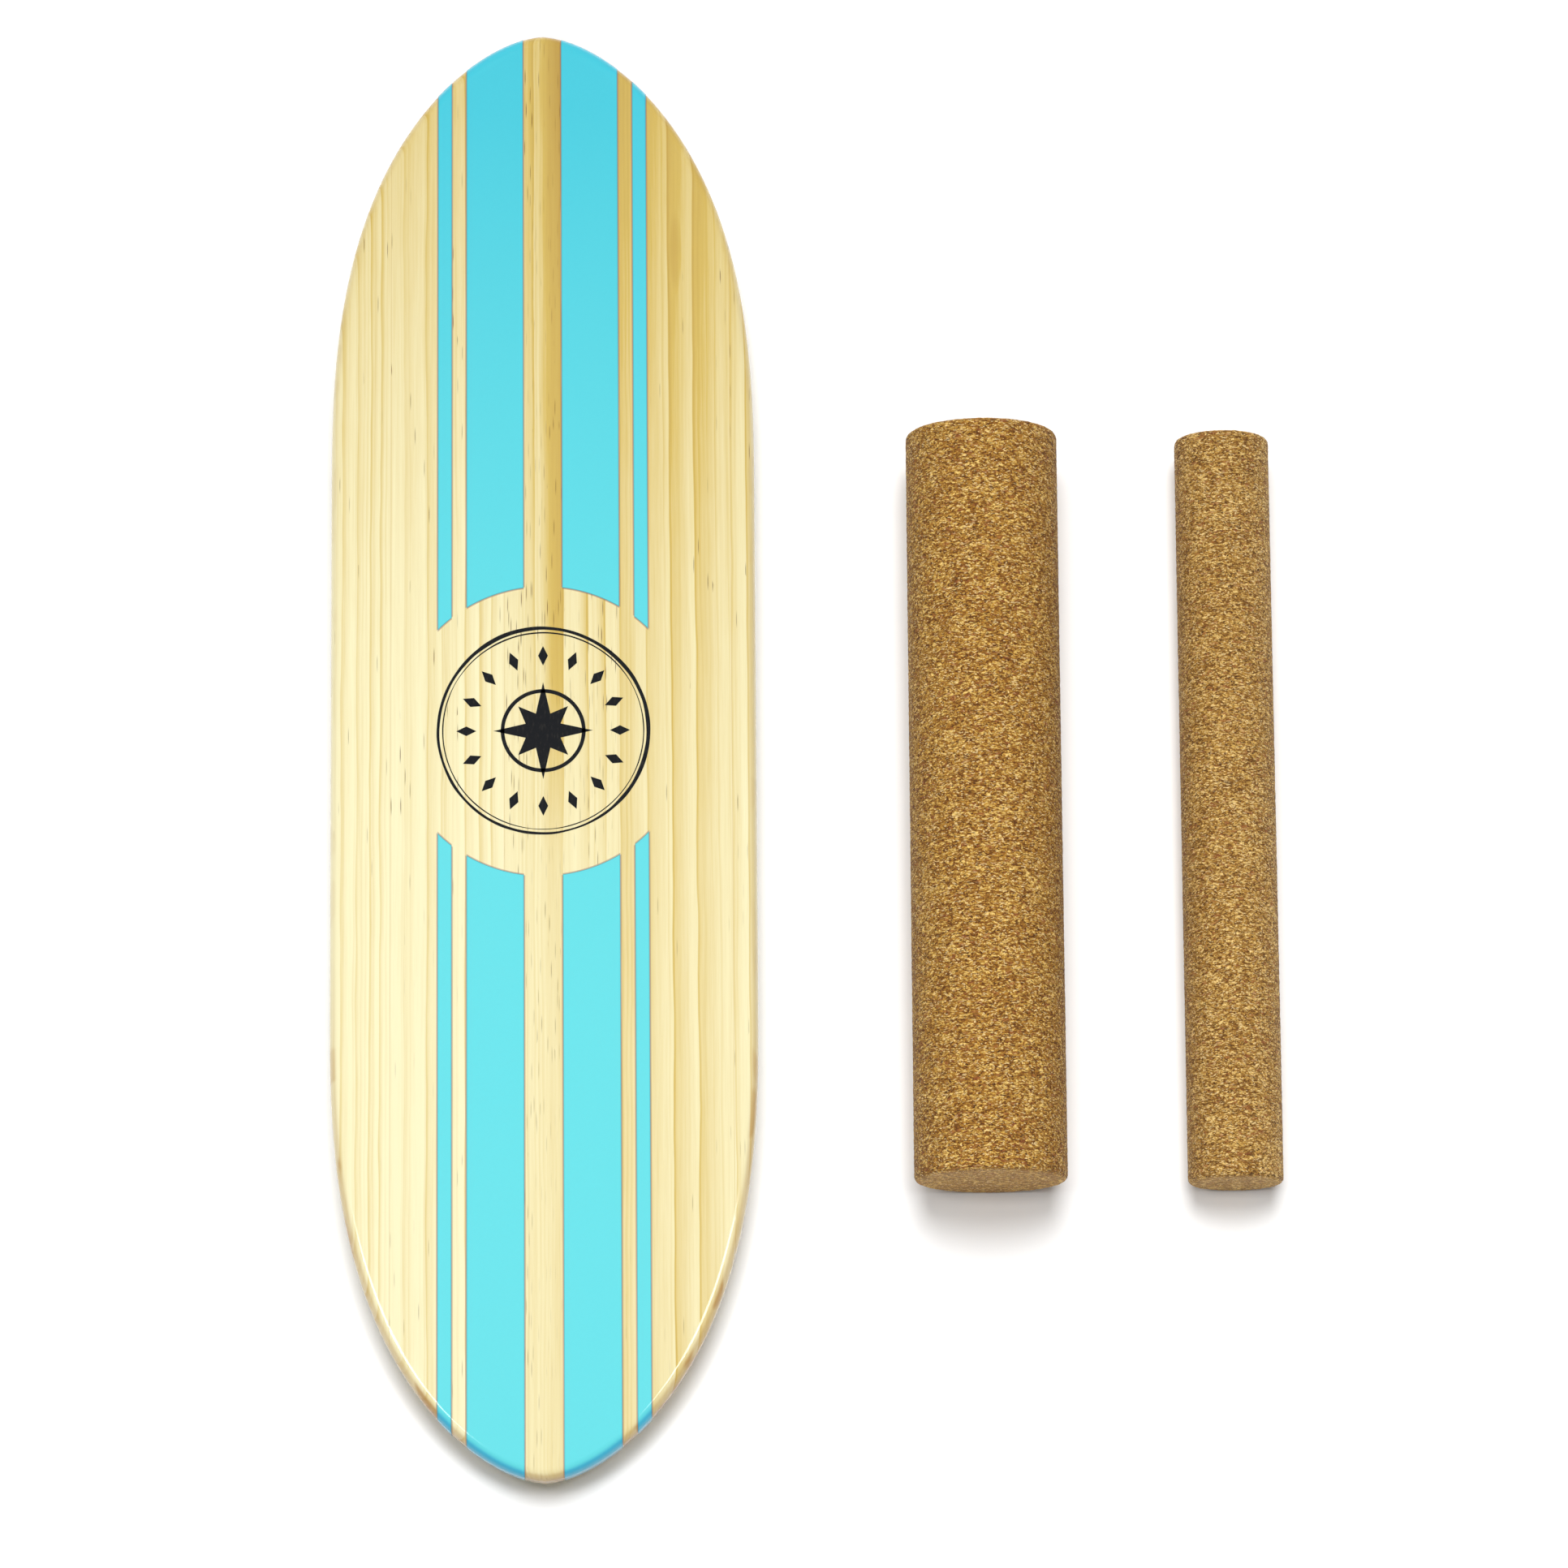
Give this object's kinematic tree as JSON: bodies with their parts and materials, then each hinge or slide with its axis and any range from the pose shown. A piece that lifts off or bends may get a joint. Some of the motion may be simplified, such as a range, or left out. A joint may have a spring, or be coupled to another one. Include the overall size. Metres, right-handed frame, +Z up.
{
  "type": "roller balance board",
  "caption": "Surf-shaped pine balance board with painted stripes and underside stops, laid flat beside a large and a small loose cork roller; it seesaws lengthways over either roller.",
  "frame": {"origin": "on the floor, under the middle of the laid-out deck and rollers", "axes": "+X across the pieces from the deck towards the rollers, +Y along the deck towards its nose, +Z up"},
  "size_m": [0.498, 0.78, 0.08],
  "materials": {
    "pine_panel": "gloss",
    "stripe_paint": "gloss",
    "emblem_ink": "matte",
    "pine_stop": "satin",
    "screw_steel": "satin",
    "cork_large": "matte",
    "cork_small": "matte"
  },
  "bodies": {
    "deck": {"stave_left_rail": "pine_panel", "stave_left": "pine_panel", "stave_centre": "pine_panel", "stave_right": "pine_panel", "stave_right_rail": "pine_panel", "nose_stop": "pine_stop", "tail_stop": "pine_stop", "nose_stop_screws": "screw_steel", "tail_stop_screws": "screw_steel"},
    "large_roller": {"large_roller": "cork_large"},
    "small_roller": {"small_roller": "cork_small"}
  },
  "joints": [
    {"name": "deck_tilt", "type": "hinge", "parent": "small_roller", "child": "deck", "pos_m": [-0.1365, -0.334, 0], "axis": [1, 0, 0], "range_deg": [0, 12]},
    {"name": "large_roller_roll", "type": "hinge", "parent": "small_roller", "child": "large_roller", "pos_m": [0.096, -0.037, 0.04], "axis": [0, 1, 0], "continuous": true}
  ]
}
